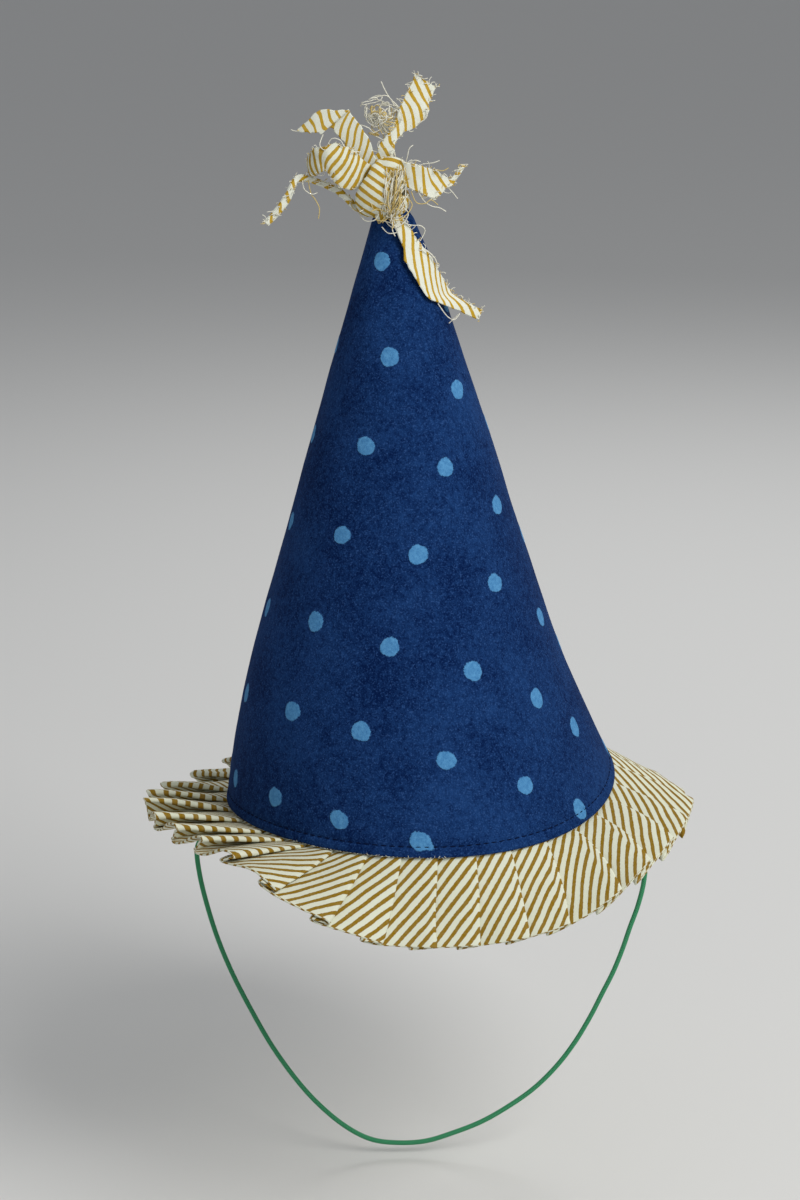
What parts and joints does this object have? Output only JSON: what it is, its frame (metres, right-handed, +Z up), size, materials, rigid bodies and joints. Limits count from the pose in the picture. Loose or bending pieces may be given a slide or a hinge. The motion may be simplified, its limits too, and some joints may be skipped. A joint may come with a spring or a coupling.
{
  "type": "party hat",
  "caption": "Small sewn cotton party hat: a stiffened cone printed with dots, a knife-pleated striped ruffle, knotted torn strips at the tip and an elastic chin cord.",
  "frame": {"origin": "middle of the head opening, level with the cone's hem", "axes": "+Z up the cone's axis to its tip, -Y towards the front, +X to the right seen from the front"},
  "size_m": [0.1824, 0.1716, 0.3538],
  "materials": {
    "navy_cotton": "brushed cotton, matt, dyed dark blue",
    "stiff_interlining": "pressed non-woven interlining, matt",
    "dot_print": "hand-printed light blue pigment on cotton, matt",
    "striped_cotton": "plain-woven cream cotton with mustard stripes, matt",
    "torn_cotton": "torn cream cotton with mustard stripes and frayed edges",
    "navy_thread": "sewing thread",
    "green_elastic": "round elastic in a braided cover, slight sheen"
  },
  "bodies": {
    "root": {"cone_cloth": "navy_cotton", "interlining": "stiff_interlining", "printed_dots": "dot_print", "pleated_ruffle": "striped_cotton", "top_knot": "torn_cotton", "strip_upright": "torn_cotton", "strip_folded": "torn_cotton", "strip_looped": "torn_cotton", "strip_twisted": "torn_cotton", "strip_right": "torn_cotton", "strip_hanging": "torn_cotton", "cord_tacks": "navy_thread", "chin_cord": "green_elastic"}
  },
  "joints": []
}
